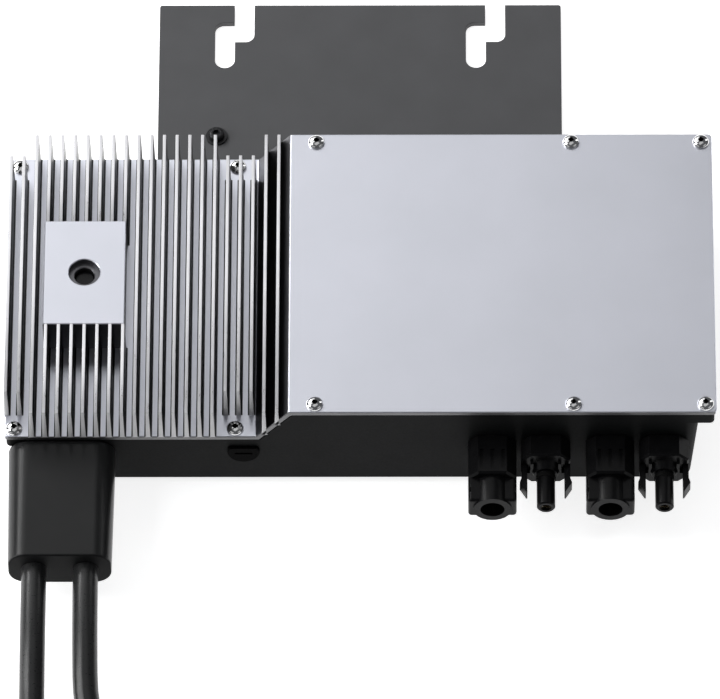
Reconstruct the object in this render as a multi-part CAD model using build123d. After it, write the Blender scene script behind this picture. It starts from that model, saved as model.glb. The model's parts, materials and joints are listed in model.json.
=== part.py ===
from build123d import *
import math
import os

# A micro inverter lying on its back: the bracket plate rests on the floor, the finned lid
# faces +z, the hook slots point to +y and the connectors and AC leads to -y.
# Everything is drawn with x = 0 and y = 0 at the lid's lower left corner and z = 0 at the
# back of the bracket; save() moves it to the frame's origin. Millimetres.

# ---- lid
LID_W = 277.0
LID_H = 132.0
ROOT_Z = 33.1            # face that the fins stand on
PLATE_Z = 50.0           # flat cover plate, level with the fin tips
LID_T = 2.2
SLOPE_X0 = 98.2          # foot of the slope between fin field and cover plate
SLOPE_X1 = 110.8         # top of the slope
SLOPE_SHIFT = 1.1        # sideways offset that keeps the slope's wall LID_T thick
LID_CORNER = 1.8

FIN_PITCH = 5.02
FIN_FIRST_X = 0.95
FIN_COUNT = 22
FIN_TIP_T = 1.3
FIN_ROOT_T = 1.9
FIN_SHORT = (0, 1, 17, 18, 19)   # stop short of the lid's edges to clear the screws
FIN_SHORT_GAP = 10.0
FIN_SINK = 0.8           # how far a fin's foot runs into the lid

PAD_X0, PAD_X1 = 14.8, 46.6      # raised pad between the fins
PAD_Y0, PAD_Y1 = 41.7, 90.6
WINDOW_X, WINDOW_Y = 30.7, 66.2
WINDOW_R = 6.1
WINDOW_DEPTH = 2.6
LIGHT_PIPE_R = 3.9

# ---- lid screws, M4 pan head
SCREW_ROWS_Y = (3.8, 128.0)
FIELD_SCREWS_X = (3.9, 90.0)
COVER_SCREWS_X = (121.1, 221.5, 272.7)
HEAD_R = 3.3
HEAD_H = 2.1
SHANK_R = 1.65
CLEAR_R = 2.2
SHANK_GRIP = 4.0         # thread below the gasket

# ---- gasket and rear tray
GASKET_T = 0.9
GASKET_INSET = 1.2
BRACKET_T = 2.5
WALL = 2.6
TRAY_BACK_Z = BRACKET_T
FLOOR_Z = TRAY_BACK_Z + WALL
RIM_INSET = 0.8
RIM_LOW_LEFT_Z = 25.6    # underside of the rim below the fin field
RIM_LOW_RIGHT_Z = 41.3   # and below the cover plate
RIM_LEDGE = 6.4          # inner edge of the rim on the long sides
WALL_IN_X = 6.0          # wall inset at the rim, short sides
WALL_DRAFT_X = 3.3       # further inset at the tray's back
WALL_IN_Y = 1.0
TRAY_CORNER = 5.0
TRAY_EDGE = 0.9

VENT_X, VENT_Z = 93.1, 22.2
VENT_R = 6.3
VENT_STEM_R = 3.0

# ---- bracket
BRACKET_X0, BRACKET_X1 = 57.0, 218.7
BRACKET_Y0, BRACKET_Y1 = 14.0, 229.4
SLOT_W = 8.0
HOOK_X = 83.4            # centre line of the left hook slot
HOOK_PITCH = 101.0
HOOK_Y = 202.4           # centre of the slot's round end
HOOK_TOP_Y = 220.7
ENTRY_FLOOR_Y = 211.2
ENTRY_OFFSET = 7.8
SLOT_CORNER = 3.6
BRACKET_SCREWS = ((70.0, 34.0), (205.0, 34.0), (70.0, 112.0), (205.0, 112.0))
EARTH_X, EARTH_Y = 80.5, 164.4

# ---- AC cable block and leads
BLOCK_X = 22.4
BLOCK_Z = 19.8
BLOCK_W = 41.6           # width and depth next to the tray
BLOCK_D = 21.2
BLOCK_R = 8.0
BLOCK_END = 52.5
BLOCK_DRAFT = 0.87       # degrees
SEAL_T = 0.8
SPIGOT_X = 25.5          # the spigot keeps clear of the tray's end wall
SPIGOT_W = 25.0
SPIGOT_D = 13.6
SPIGOT_END_Y = 12.4
LEAD_D = 9.8
LEAD_GAP = 20.0
LEAD_R = LEAD_D / 2
COIL_R = 55.0            # middle of the turns
COIL_OUT = COIL_R + LEAD_D
COIL_IN = COIL_R - LEAD_D
COIL_H = 19.4

# ---- connectors on the ends of the AC leads
GLAND_LEN = 14.0
SHELL_LEN = 34.0
SHELL_R = 10.4
NUT_R = 13.0
NUT_LEN = 20.0
NUT_START = GLAND_LEN + SHELL_LEN - 9.0
INSERT_R = 7.6
CONTACT_R = 1.25
CONTACT_RING = 3.6
FACE_X = GLAND_LEN + SHELL_LEN

# ---- DC connectors
DC_Z = 24.0
SOCKET_X = (190.0, 235.8)
PIN_X = (210.8, 256.8)
DC_W = 18.8
DC_CHAMFER = 3.8
SOCKET_STEP_Y = -17.0
SOCKET_END_Y = -28.0
BARREL_R = 7.4
MOUTH_R = 4.7
MOUTH_DEPTH = 22.0
SHOULDER_W = 19.2
SHOULDER_END_Y = -9.0
PIN_R = 3.6
PIN_END_Y = -27.2
PIN_BORE_R = 2.1
NECK_R = 6.6             # neck that goes through the tray wall
LATCH_X = 8.35           # middle of a latch arm, from the connector's axis
LATCH_T = 2.3
LATCH_W = 5.6
LATCH_TIP_Y = -21.2
LATCH_HINGE_Y = -5.6
LATCH_GAP = 0.35

# ---- inside
BOARD_Z = 9.2
BOARD_T = 1.6
BOARD_TOP = BOARD_Z + BOARD_T
STANDOFFS = ((44.0, 14.0), (140.0, 22.0), (246.0, 18.0), (20.0, 116.0), (140.0, 116.0), (256.0, 116.0))

# The origin is the middle of the object's footprint without the leads.
MID_X = LID_W / 2
MID_Y = (BRACKET_Y1 - BLOCK_END) / 2

os.makedirs("parts", exist_ok=True)


def save(name, *solids):
    """Write one node, moved to the frame's origin."""
    moved = [Pos(-MID_X, -MID_Y, 0) * solid for solid in solids]
    shape = moved[0] if len(moved) == 1 else Compound(children=moved)
    export_step(shape, f"parts/{name}.step")


def prism_y(points, y0, y1):
    """A solid with the given x-z outline, from y0 to y1."""
    outline = make_face(Polyline(*[(x, y0, z) for x, z in points], close=True))
    return extrude(outline, amount=y1 - y0, dir=(0, 1, 0))


def slab(x0, x1, y0, y1, z0, z1):
    return Pos((x0 + x1) / 2, (y0 + y1) / 2, (z0 + z1) / 2) * Box(x1 - x0, y1 - y0, z1 - z0)


def post(x, y, z0, z1, radius):
    """A cylinder that stands along z."""
    return Pos(x, y, (z0 + z1) / 2) * Cylinder(radius, z1 - z0)


def rod(x, z, y0, y1, radius):
    """A cylinder that lies along y."""
    return Pos(x, (y0 + y1) / 2, z) * Rot(90, 0, 0) * Cylinder(radius, abs(y1 - y0))


def rod_x(y, z, x0, x1, radius):
    """A cylinder that lies along x."""
    return Pos((x0 + x1) / 2, y, z) * Rot(0, 90, 0) * Cylinder(radius, abs(x1 - x0))


def bar_y(x, z, y0, y1, section, draft=0):
    """A flat section, drawn with its second axis up, extruded along y from y0 to y1."""
    plane = Plane(origin=(x, y0, z), x_dir=(1, 0, 0), z_dir=(0, -1, 0))
    return extrude(plane * section, amount=y0 - y1, taper=draft)


def step_line(drop, shift, inset):
    """The stepped line from left to right, a given drop below the lid's top face."""
    return [
        (inset, ROOT_Z - drop),
        (SLOPE_X0 + shift, ROOT_Z - drop),
        (SLOPE_X1 + shift, PLATE_Z - drop),
        (LID_W - inset, PLATE_Z - drop),
    ]


def edges_along_z(shape, radius):
    """Round the upright corner edges of a stepped or drafted block."""
    corners = [e for e in shape.edges() if abs((e @ 1 - e @ 0).normalized().Z) > 0.9]
    return fillet(corners, radius)


# ---------------------------------------------------------------- casing

def lid_screw_places():
    """Centre and seat height of each of the ten lid screws."""
    places = []
    for y in SCREW_ROWS_Y:
        places += [(x, y, ROOT_Z) for x in FIELD_SCREWS_X]
        places += [(x, y, PLATE_Z) for x in COVER_SCREWS_X]
    return places


def lid_plate():
    top = step_line(0, 0, 0)
    bottom = step_line(LID_T, SLOPE_SHIFT, 0)
    return edges_along_z(prism_y(top + bottom[::-1], 0, LID_H), LID_CORNER)


def slope_height(x):
    """Height of the lid's outer face at x."""
    share = min(max((x - SLOPE_X0) / (SLOPE_X1 - SLOPE_X0), 0), 1)
    return ROOT_Z + share * (PLATE_Z - ROOT_Z)


def fin(index):
    x = FIN_FIRST_X + index * FIN_PITCH
    gap = FIN_SHORT_GAP if index in FIN_SHORT else 0
    foot = slope_height(x) - FIN_SINK
    outline = [
        (x - FIN_ROOT_T / 2, foot),
        (x + FIN_ROOT_T / 2, foot),
        (x + FIN_TIP_T / 2, PLATE_Z),
        (x - FIN_TIP_T / 2, PLATE_Z),
    ]
    return prism_y(outline, gap, LID_H - gap)


def heatsink_lid():
    lid = lid_plate()
    lid += [fin(index) for index in range(FIN_COUNT)]
    lid += slab(PAD_X0, PAD_X1, PAD_Y0, PAD_Y1, ROOT_Z - FIN_SINK, PLATE_Z)
    lid -= post(WINDOW_X, WINDOW_Y, PLATE_Z - WINDOW_DEPTH, PLATE_Z + 1, WINDOW_R)
    lid -= post(WINDOW_X, WINDOW_Y, ROOT_Z - 2 * LID_T, PLATE_Z, LIGHT_PIPE_R)
    for x, y, seat in lid_screw_places():
        lid -= post(x, y, seat - 2 * LID_T, seat + 0.5, CLEAR_R)
    return lid


def lid_gasket():
    upper = step_line(LID_T, SLOPE_SHIFT, GASKET_INSET)
    lower = step_line(LID_T + GASKET_T, SLOPE_SHIFT + 0.45, GASKET_INSET)
    ring = prism_y(upper + lower[::-1], GASKET_INSET, LID_H - GASKET_INSET)
    ring -= slab(WALL_IN_X + WALL, LID_W - WALL_IN_X - WALL, RIM_LEDGE, LID_H - RIM_LEDGE, 0, PLATE_Z)
    for x, y, seat in lid_screw_places():
        ring -= post(x, y, seat - 3 * LID_T, seat, CLEAR_R)
    return ring


def tray_prism(inset, floor, top_line, y_inset):
    """The drafted box under the stepped line; inset widens the wall inwards."""
    left, right = WALL_IN_X + inset, LID_W - WALL_IN_X - inset
    points = [(left + WALL_DRAFT_X, floor), (right - WALL_DRAFT_X, floor)]
    points += [(right, top_line[3][1]), top_line[2], top_line[1], (left, top_line[0][1])]
    return prism_y(points, y_inset, LID_H - y_inset)


def rim():
    """The thick edge that carries the gasket and the lid screws."""
    top = step_line(LID_T + GASKET_T, SLOPE_SHIFT + 0.45, RIM_INSET)
    under = [
        (LID_W - RIM_INSET, RIM_LOW_RIGHT_Z),
        (SLOPE_X1 + 3.4, RIM_LOW_RIGHT_Z),
        (SLOPE_X0 + 4.2, RIM_LOW_LEFT_Z),
        (RIM_INSET, RIM_LOW_LEFT_Z),
    ]
    ring = edges_along_z(prism_y(top + under, RIM_INSET, LID_H - RIM_INSET), LID_CORNER)
    inner = WALL_IN_X + WALL
    return ring - slab(inner, LID_W - inner, RIM_LEDGE, LID_H - RIM_LEDGE, 0, PLATE_Z)


def screw_bosses(places):
    """Closed bosses under the rim for the screws that are inside the wall."""
    bosses = []
    for x, y, seat in places:
        if WALL_IN_X < x < LID_W - WALL_IN_X:
            low = RIM_LOW_LEFT_Z if seat == ROOT_Z else RIM_LOW_RIGHT_Z
            boss = post(x, y, low - 3.0, low + 1.0, 3.4)
            boss -= slab(0, LID_W, -2, WALL_IN_Y, 0, PLATE_Z)
            boss -= slab(0, LID_W, LID_H - WALL_IN_Y, LID_H + 2, 0, PLATE_Z)
            bosses.append(boss)
    return bosses


def rear_tray():
    top_line = step_line(LID_T + GASKET_T, SLOPE_SHIFT + 0.45, RIM_INSET)
    body = tray_prism(0, TRAY_BACK_Z, top_line, WALL_IN_Y)
    body = edges_along_z(body, TRAY_CORNER)
    body = fillet(body.faces().sort_by(Axis.Z)[0].edges(), TRAY_EDGE)
    cavity_top = [(x, z + 5) for x, z in top_line]
    cavity = tray_prism(WALL, FLOOR_Z, cavity_top, WALL_IN_Y + WALL)
    cavity = edges_along_z(cavity, TRAY_CORNER - WALL)
    tray = body - cavity
    tray += rim()
    tray += screw_bosses(lid_screw_places())
    for x, y in BRACKET_SCREWS:
        tray += post(x, y, FLOOR_Z - 0.5, BOARD_Z - 0.8, 4.2)
    depth = LID_T + GASKET_T + SHANK_GRIP + 0.4
    for x, y, seat in lid_screw_places():
        tray -= post(x, y, seat - depth, seat, SHANK_R + 0.05)
    for x, y in BRACKET_SCREWS:
        tray -= post(x, y, TRAY_BACK_Z - 1, BOARD_Z - 1.6, SHANK_R + 0.05)
    tray -= spigot(RIM_LEDGE + 1, -1, 0.1)
    for x in SOCKET_X + PIN_X:
        tray -= rod(x, DC_Z, -1, RIM_LEDGE + 1, NECK_R)
    tray -= rod(VENT_X, VENT_Z, -1, RIM_LEDGE + 2, VENT_STEM_R)
    return tray


def pan_screw(x, y, seat, grip):
    """A pan head screw with a cross recess, its head's underside at height seat."""
    dome = Pos(x, y, seat) * Cylinder(HEAD_R, HEAD_H, align=(Align.CENTER, Align.CENTER, Align.MIN))
    dome = fillet(dome.edges().sort_by(Axis.Z)[-1], HEAD_H * 0.75)
    top = seat + HEAD_H
    for length, width in ((3.4, 0.8), (0.8, 3.4)):
        dome -= slab(x - length / 2, x + length / 2, y - width / 2, y + width / 2, top - 1.1, top + 1)
    return dome + post(x, y, seat - grip, seat + 0.2, SHANK_R)


def lid_screws():
    grip = LID_T + GASKET_T + SHANK_GRIP
    return [pan_screw(x, y, seat, grip) for x, y, seat in lid_screw_places()]


# ---------------------------------------------------------------- bracket

def hook_slot(x):
    """A dog-leg slot: an entry from the top edge and a round-ended hook to its left."""
    hook = slab(x - SLOT_W / 2, x + SLOT_W / 2, HOOK_Y, HOOK_TOP_Y, -1, BRACKET_T + 1)
    left_top = hook.edges().filter_by(Axis.Z).sort_by(lambda e: e.center().Y - e.center().X)[-1]
    hook = fillet(left_top, SLOT_CORNER)
    hook += post(x, HOOK_Y, -1, BRACKET_T + 1, SLOT_W / 2)
    x_entry = x + ENTRY_OFFSET
    half = SLOT_W / 2
    entry = slab(x_entry - half, x_entry + half, ENTRY_FLOOR_Y, BRACKET_Y1 + 5, -1, BRACKET_T + 1)
    right_low = entry.edges().filter_by(Axis.Z).sort_by(lambda e: e.center().Y - e.center().X)[0]
    return hook + fillet(right_low, SLOT_CORNER)


def mounting_bracket():
    plate = slab(BRACKET_X0, BRACKET_X1, BRACKET_Y0, BRACKET_Y1, 0, BRACKET_T)
    plate = fillet(plate.edges().filter_by(Axis.Z), 1.0)
    for x in (HOOK_X, HOOK_X + HOOK_PITCH):
        plate -= hook_slot(x)
    for x, y in BRACKET_SCREWS:
        plate -= post(x, y, -1, BRACKET_T + 1, CLEAR_R)
        plate -= Pos(x, y, 0) * Cone(4.2, CLEAR_R, 2.0, align=(Align.CENTER, Align.CENTER, Align.MIN))
    plate -= post(EARTH_X, EARTH_Y, -1, BRACKET_T + 1, 2.1)
    return plate


def bracket_screws():
    screws = []
    for x, y in BRACKET_SCREWS:
        head = Pos(x, y, 0.1) * Cone(4.05, SHANK_R, 2.4, align=(Align.CENTER, Align.CENTER, Align.MIN))
        head -= slab(x - 1.5, x + 1.5, y - 0.4, y + 0.4, -1, 1.0)
        screws.append(head + post(x, y, 1.0, BOARD_Z - 2.0, SHANK_R))
    return screws


def earth_screw():
    """Green-yellow conductors go under this screw; its end stays inside the plate."""
    base = BRACKET_T + 0.8
    head = Pos(EARTH_X, EARTH_Y, base) * Cylinder(3.1, 2.2, align=(Align.CENTER, Align.CENTER, Align.MIN))
    head = fillet(head.edges().sort_by(Axis.Z)[-1], 1.2)
    head -= extrude(Pos(EARTH_X, EARTH_Y, base + 1.0) * RegularPolygon(1.5, 6), amount=3)
    return head + post(EARTH_X, EARTH_Y, 0.2, base + 0.2, 2.0)


def earth_washer():
    disc = post(EARTH_X, EARTH_Y, BRACKET_T, BRACKET_T + 0.8, 4.3)
    return disc - post(EARTH_X, EARTH_Y, 0, BRACKET_T + 2, 2.15)


# ---------------------------------------------------------------- breather

def breather_vent():
    """A push-in breather whose cap has a flat under the rim."""
    cap = rod(VENT_X, VENT_Z, WALL_IN_Y - 1.5, WALL_IN_Y, VENT_R)
    cap = fillet(cap.edges().sort_by(Axis.Y)[0], 0.6)
    cap -= slab(VENT_X - 10, VENT_X + 10, -5, 5, RIM_LOW_LEFT_Z - 0.2, RIM_LOW_LEFT_Z + 10)
    cap -= slab(VENT_X - 3.4, VENT_X + 3.4, -5, WALL_IN_Y - 1.1, VENT_Z - 0.6, VENT_Z + 0.6)
    stem = rod(VENT_X, VENT_Z, WALL_IN_Y, WALL_IN_Y + WALL + 1.4, VENT_STEM_R - 0.1)
    return cap + stem


# ---------------------------------------------------------------- AC cable block

def spigot(y0, y1, gap):
    """The part of the cable block that enters the tray, or with a gap the hole for it."""
    section = RectangleRounded(SPIGOT_W + 2 * gap, SPIGOT_D + 2 * gap, 4)
    return bar_y(SPIGOT_X, BLOCK_Z, y0, y1, section)


def ac_cable_block():
    """The block that is moulded onto both leads, slightly narrower towards the leads."""
    face = RIM_INSET - SEAL_T
    outline = RectangleRounded(BLOCK_W, BLOCK_D, BLOCK_R)
    body = bar_y(BLOCK_X, BLOCK_Z, face, -BLOCK_END, outline, BLOCK_DRAFT)
    body = fillet(body.faces().sort_by(Axis.Y)[0].edges(), 0.8)
    return body + spigot(SPIGOT_END_Y, face - 1, 0)


def lead_places():
    return (BLOCK_X - LEAD_GAP / 2, BLOCK_X + LEAD_GAP / 2)


def ac_block_seal():
    """Rubber plate between block and tray; its back is stepped round the rim's lower edge."""
    outline = RectangleRounded(BLOCK_W - 1, BLOCK_D - 1, BLOCK_R)
    seal = bar_y(BLOCK_X, BLOCK_Z, WALL_IN_Y, RIM_INSET - SEAL_T, outline)
    seal -= slab(0, 60, RIM_INSET, WALL_IN_Y, RIM_LOW_LEFT_Z, ROOT_Z)
    return seal - spigot(5, -5, 0)


def ac_block_retainer():
    """The clip plate that holds the spigot from inside."""
    y0 = WALL_IN_Y + WALL
    right = SPIGOT_X + SPIGOT_W / 2 + 5
    plate = slab(SPIGOT_X - 6, right, y0, y0 + 2, BLOCK_Z - 8.6, RIM_LOW_LEFT_Z - 0.3)
    return plate - spigot(y0 + 5, y0 - 5, 0.05)


# ---------------------------------------------------------------- AC leads
# Each lead leaves the block along -y, comes down to the floor and is wound into a coil.
# The entry of a coil is on its outer turn; the free end leaves from the top turn.

LEAD_1_X, LEAD_2_X = lead_places()
OUTER_TURN_R = COIL_R + LEAD_R
COIL_1 = (LEAD_1_X + OUTER_TURN_R, -240.0)
COIL_2 = (205.0, -214.0)
TOP_TURN_Z = 14.9
PLUG_Z = 13.0
PLUG_X = COIL_1[0] + 76.0
PLUG_Y = COIL_1[1] - COIL_R
SOCKET_PLUG_X = COIL_2[0] + COIL_R
SOCKET_PLUG_Y = COIL_2[1] - 72.0

LEAD_1_ROUTE = [
    (LEAD_1_X, -BLOCK_END, BLOCK_Z),
    (LEAD_1_X, -80, BLOCK_Z),
    (LEAD_1_X, -112, 9.6),
    (LEAD_1_X, -160, LEAD_R),
    (LEAD_1_X, COIL_1[1], LEAD_R),
]
LEAD_1_TAIL = [
    (COIL_1[0], PLUG_Y, TOP_TURN_Z),
    (COIL_1[0] + 36, PLUG_Y, TOP_TURN_Z),
    (PLUG_X, PLUG_Y, PLUG_Z),
]
LEAD_2_ROUTE = [
    (LEAD_2_X, -BLOCK_END, BLOCK_Z),
    (LEAD_2_X, -80, BLOCK_Z),
    (LEAD_2_X + 1, -118, 8.0),
    (54, -146, LEAD_R),
    (96, -157, LEAD_R),
    (150, -151, LEAD_R),
    (COIL_2[0], COIL_2[1] + OUTER_TURN_R, LEAD_R),
]
LEAD_2_TAIL = [
    (SOCKET_PLUG_X, COIL_2[1], TOP_TURN_Z),
    (SOCKET_PLUG_X, COIL_2[1] - 36, TOP_TURN_Z),
    (SOCKET_PLUG_X, SOCKET_PLUG_Y, PLUG_Z),
]


def corner_radii(points):
    """One arc radius per inner point, from its turn and its shorter run."""
    radii = []
    for before, here, after in zip(points, points[1:], points[2:]):
        run_in = Vector(*here) - Vector(*before)
        run_out = Vector(*after) - Vector(*here)
        half_turn = math.radians(run_in.get_angle(run_out)) / 2
        radii.append(0.45 * min(run_in.length, run_out.length) / math.tan(half_turn))
    return radii


def lead(points):
    """A round lead along straight runs and tangent arcs."""
    radii = corner_radii(points)
    print("lead radii", [round(r) for r in radii])
    route = FilletPolyline(*points, radius=radii)
    return sweep(Plane(origin=route @ 0, z_dir=route % 0) * Circle(LEAD_R), path=route)


def coil(centre):
    """The outer shape of two turns on the floor with one in the valley between them."""
    outline = [
        (COIL_IN, 0),
        (COIL_OUT, 0),
        (COIL_OUT, LEAD_D * 0.75),
        (COIL_R + LEAD_R, COIL_H),
        (COIL_R - LEAD_R, COIL_H),
        (COIL_IN, LEAD_D * 0.75),
    ]
    section = make_face(Polyline(*[(x, 0, z) for x, z in outline], close=True))
    return Pos(centre[0], centre[1], 0) * revolve(section, Axis.Z, 360)


def coil_tie(centre, angle):
    """A hook-and-loop band round the bundle of turns."""
    band = slab(COIL_IN - 2.0, COIL_OUT + 1.4, -7, 7, 0, COIL_H + 1.4)
    band -= slab(COIL_IN - 0.7, COIL_OUT + 0.05, -8, 8, -1, COIL_H)
    return Pos(centre[0], centre[1], 0) * Rot(0, 0, angle) * band


# The AC plug points along +x from PLUG_X, the AC socket along -y from SOCKET_PLUG_Y.
# Both are drawn along +x from x = 0 and then placed.

def gland_nut():
    body = Rot(0, 90, 0) * extrude(RegularPolygon(10.0, 6), amount=GLAND_LEN - 5)
    cone = Pos(0, 0, 0) * Rot(0, 90, 0) * Cone(6.6, 9.2, 5, align=(Align.CENTER, Align.CENTER, Align.MIN))
    nut = Pos(5, 0, 0) * body + cone
    return nut - rod_x(0, 0, -1, GLAND_LEN + 1, LEAD_R)


def end_shell(nose_len, nose_r):
    """The connector's body: a grip barrel, a collar and the nose that carries the insert."""
    shell = rod_x(0, 0, GLAND_LEN, FACE_X, 9.4)
    shell += rod_x(0, 0, GLAND_LEN, GLAND_LEN + 16, SHELL_R)
    shell += rod_x(0, 0, FACE_X - 0.5, FACE_X + nose_len, nose_r)
    return shell - rod_x(0, 0, GLAND_LEN + 8, FACE_X + nose_len + 1, INSERT_R + 0.05)


def shell_grooves(shell):
    """Grip grooves along the barrel."""
    for index in range(12):
        groove = slab(GLAND_LEN + 2, GLAND_LEN + 14, -0.6, 0.6, SHELL_R - 0.6, SHELL_R + 1)
        shell -= Rot(30 * index, 0, 0) * groove
    return shell


def cable_bore(shell):
    return shell - rod_x(0, 0, GLAND_LEN - 1, GLAND_LEN + 9, LEAD_R)


def contact_places():
    return [Rot(120 * index + 90, 0, 0) * Pos(0, 0, CONTACT_RING) for index in range(3)]


def contacts(x0, x1, radius):
    return [place * rod_x(0, 0, x0, x1, radius) for place in contact_places()]


def insert(x0, x1):
    block = rod_x(0, 0, x0, x1, INSERT_R)
    for place in contact_places():
        block -= place * rod_x(0, 0, x0 - 1, x1 + 1, CONTACT_R + 0.05)
    return block


def coupling_nut():
    """Turns freely on the plug's nose, held behind its collar."""
    nut = rod_x(0, 0, NUT_START, NUT_START + NUT_LEN, NUT_R)
    nut = chamfer(nut.edges(), 0.8)
    nut -= rod_x(0, 0, NUT_START - 1, NUT_START + NUT_LEN + 1, 11.2)
    nut += rod_x(0, 0, NUT_START, NUT_START + 2, 11.5) - rod_x(0, 0, NUT_START - 1, NUT_START + 3, 9.9)
    for index in range(16):
        turn = Rot(22.5 * index + 11.25, 0, 0)
        nut -= turn * slab(NUT_START + 3, NUT_START + NUT_LEN - 2, -0.8, 0.8, NUT_R - 0.7, NUT_R + 1)
    return nut


def at_plug(shape):
    return Pos(PLUG_X, PLUG_Y, PLUG_Z) * shape


def at_socket(shape):
    return Pos(SOCKET_PLUG_X, SOCKET_PLUG_Y, PLUG_Z) * Rot(0, 0, -90) * shape


# ---------------------------------------------------------------- DC connectors

def chamfered_square(width):
    return chamfer(Rectangle(width, width).vertices(), DC_CHAMFER)


def dc_neck(x):
    """The hollow neck through the tray wall, with the thread for the lock nut."""
    inner = WALL_IN_Y + WALL + 7
    return rod(x, DC_Z, RIM_INSET - 1, inner, NECK_R - 0.1)


def dc_socket_housing(x):
    seat = WALL_IN_Y - SEAL_T
    body = bar_y(x, DC_Z, seat, SOCKET_STEP_Y, chamfered_square(DC_W))
    body = chamfer(body.faces().sort_by(Axis.Y)[0].edges(), 0.8)
    face_z = DC_Z + DC_W / 2
    for rib_x in (x - 4.2, x, x + 4.2):
        body -= slab(rib_x - 0.7, rib_x + 0.7, SOCKET_STEP_Y + 2.5, -6, face_z - 0.6, face_z + 3)
    body += rod(x, DC_Z, SOCKET_STEP_Y + 1, SOCKET_END_Y, BARREL_R)
    ears = slab(x - DC_W / 2, x + DC_W / 2, SOCKET_END_Y + 0.6, SOCKET_STEP_Y + 1, DC_Z - 5.6, DC_Z + 5.6)
    ears = fillet(ears.edges().filter_by(Axis.Y), 1.4)
    ears = fillet(ears.faces().sort_by(Axis.Y)[0].edges(), 1.2)
    body += ears
    for side in (-1, 1):
        edge = x + side * DC_W / 2
        body -= slab(edge - 1.1, edge + 1.1, -23.4, -21.2, DC_Z - 10, DC_Z + 10)
        inner = x + side * (BARREL_R - 0.6)
        body -= slab(min(inner, edge) + 0.5, max(inner, edge) - 0.5, -21.0, -17.8, DC_Z - 3.1, DC_Z + 3.1)
    body += dc_neck(x)
    body -= rod(x, DC_Z, SOCKET_END_Y - 1, SOCKET_END_Y + MOUTH_DEPTH, MOUTH_R)
    return body - rod(x, DC_Z, SOCKET_END_Y, 20, 2.1)


def dc_socket_contact(x):
    """The metal pin in the socket type's cavity."""
    tip = SOCKET_END_Y + 6
    pin = rod(x, DC_Z, tip, 14, 1.5)
    pin = fillet(pin.edges().sort_by(Axis.Y)[0], 1.0)
    return pin + rod(x, DC_Z, SOCKET_END_Y + MOUTH_DEPTH + 1, 14, 2.05)


def dc_pin_housing(x):
    seat = WALL_IN_Y - SEAL_T
    body = bar_y(x, DC_Z, seat, SHOULDER_END_Y, chamfered_square(SHOULDER_W))
    body = chamfer(body.faces().sort_by(Axis.Y)[0].edges(), 0.7)
    collar = Cone(6.2, 4.6, 3.0, align=(Align.CENTER, Align.CENTER, Align.MIN))
    body += Pos(x, SHOULDER_END_Y, DC_Z) * Rot(90, 0, 0) * collar
    nose = rod(x, DC_Z, 0, PIN_END_Y, PIN_R)
    body += chamfer(nose.edges().sort_by(Axis.Y)[0], 0.5)
    for side in (-1, 1):
        rib_x = x + side * 5.4
        rib = slab(rib_x - 0.6, rib_x + 0.6, SHOULDER_END_Y - 1.6, SHOULDER_END_Y + 1, -5.5, 5.5)
        body += Pos(0, 0, DC_Z) * rib
        body -= latch_pocket(x, side)
    body += dc_neck(x)
    body -= rod(x, DC_Z, PIN_END_Y - 1, 20, PIN_BORE_R)
    return body - o_ring_groove(x)


def o_ring_groove(x):
    y = SHOULDER_END_Y - 4.6
    return rod(x, DC_Z, y - 0.9, y + 0.9, PIN_R + 1) - rod(x, DC_Z, y - 1, y + 1, PIN_R - 0.6)


def dc_o_ring(x):
    y = SHOULDER_END_Y - 4.6
    ring = rod(x, DC_Z, y - 0.85, y + 0.85, PIN_R + 0.35)
    ring = fillet(ring.edges().filter_by(GeomType.CIRCLE), 0.4)
    return ring - rod(x, DC_Z, y - 2, y + 2, PIN_R - 0.6)


def dc_pin_contact(x):
    """The tubular contact inside the insulated nose."""
    tube = rod(x, DC_Z, PIN_END_Y + 1.2, 14, PIN_BORE_R - 0.05)
    return tube - rod(x, DC_Z, PIN_END_Y, PIN_END_Y + 14, 1.55)


def latch_pocket(x, side):
    """Room for the root of a latch arm, open to the side and to the front."""
    inner = x + side * (LATCH_X - LATCH_T / 2 - LATCH_GAP)
    outer = x + side * (SHOULDER_W / 2 + 1)
    half = LATCH_W / 2 + LATCH_GAP
    deep = LATCH_HINGE_Y + LATCH_T / 2 + LATCH_GAP
    pocket = slab(min(inner, outer), max(inner, outer), SHOULDER_END_Y - 3, deep, DC_Z - half, DC_Z + half)
    wedge_x = inner - side * 0.7
    root_x = sorted((inner, wedge_x))
    return pocket + slab(*root_x, SHOULDER_END_Y - 3, -7.2, DC_Z - half, DC_Z + half)


def latch_arm(x, side):
    """A sprung arm with a barbed tip; its round root is the flexing point."""
    low, high = DC_Z - LATCH_W / 2, DC_Z + LATCH_W / 2
    middle = x + side * LATCH_X
    arm = slab(middle - LATCH_T / 2, middle + LATCH_T / 2, LATCH_TIP_Y + 6, LATCH_HINGE_Y, low, high)
    root = Pos(middle, LATCH_HINGE_Y, DC_Z) * Cylinder(LATCH_T / 2, LATCH_W)
    inner = middle - side * LATCH_T / 2
    outer = middle + side * LATCH_T / 2
    tip = [
        (inner, LATCH_TIP_Y + 6.2),
        (inner, LATCH_TIP_Y),
        (inner + side * 0.5, LATCH_TIP_Y),
        (outer + side * 0.7, LATCH_TIP_Y + 4.2),
        (outer, LATCH_TIP_Y + 6.2),
    ]
    outline = make_face(Polyline(*[(px, py, low) for px, py in tip], close=True))
    return arm + root + extrude(outline, amount=LATCH_W, dir=(0, 0, 1))


def dc_panel_seal(x):
    """Flat ring between a connector and the tray wall."""
    ring = rod(x, DC_Z, WALL_IN_Y - SEAL_T, WALL_IN_Y, 8.8)
    return ring - rod(x, DC_Z, 0, 5, NECK_R - 0.05)


def dc_lock_nut(x):
    y0 = WALL_IN_Y + WALL
    nut = bar_y(x, DC_Z, y0 + 4, y0, RegularPolygon(8.4, 6, rotation=30))
    return nut - rod(x, DC_Z, y0 - 1, y0 + 5, NECK_R - 0.05)


# ---------------------------------------------------------------- status window

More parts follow.
